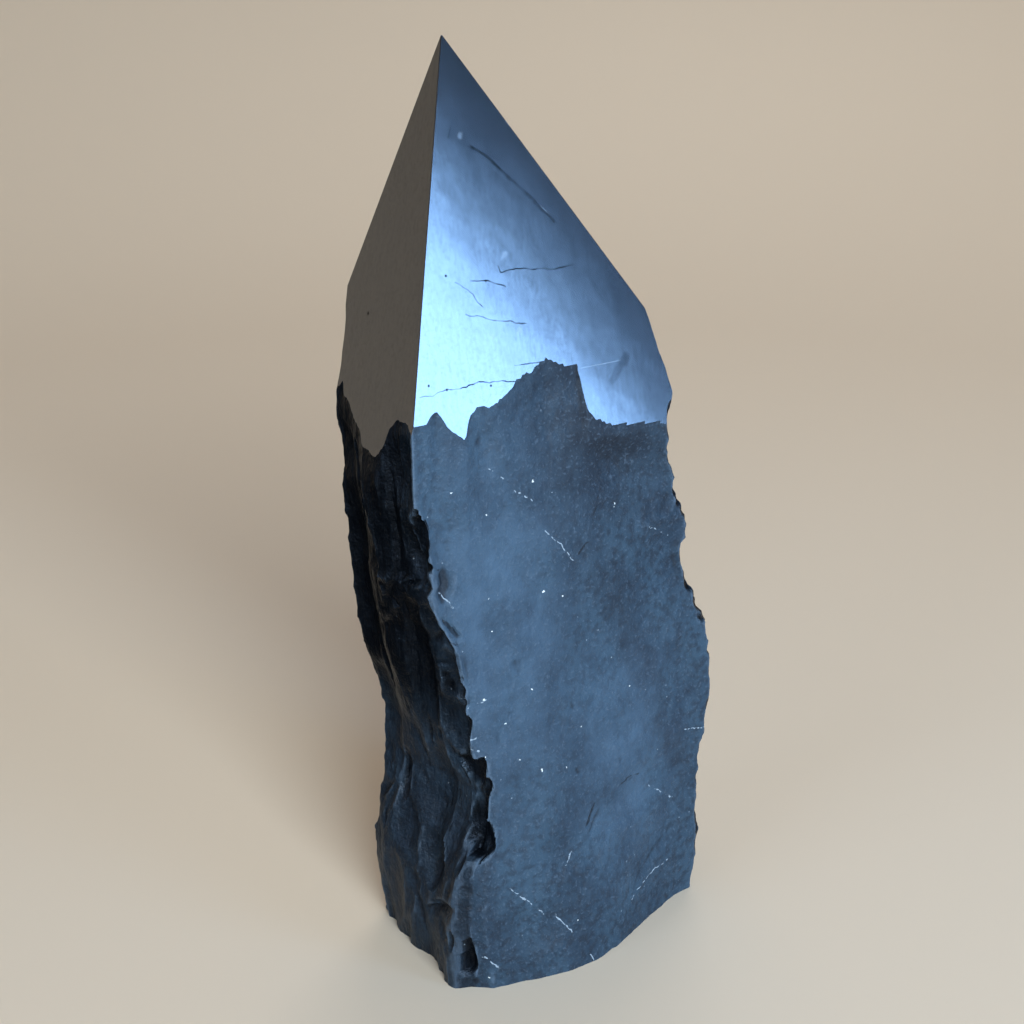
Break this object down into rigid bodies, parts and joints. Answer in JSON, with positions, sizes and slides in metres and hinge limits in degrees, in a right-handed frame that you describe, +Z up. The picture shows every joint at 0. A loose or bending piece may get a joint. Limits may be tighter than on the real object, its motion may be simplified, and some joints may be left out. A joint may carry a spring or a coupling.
{
  "type": "shungite rock",
  "caption": "Rough fractured block of black shungite with a flat sawn foot and a ground, polished four-sided point at the top.",
  "frame": {"origin": "middle of the stone's box at its foot, on the surface that it stands on", "axes": "+Z up to the apex, +X along the broad front wall to the right, +Y from the front wall to the back wall"},
  "size_m": [0.0654, 0.0426, 0.1609],
  "materials": {
    "shungite": "black carbon-rich stone, rough broken walls with a silky grain and four mirror-polished facets at the tip"
  },
  "bodies": {
    "root": {"shungite_rock": "shungite"}
  },
  "joints": []
}
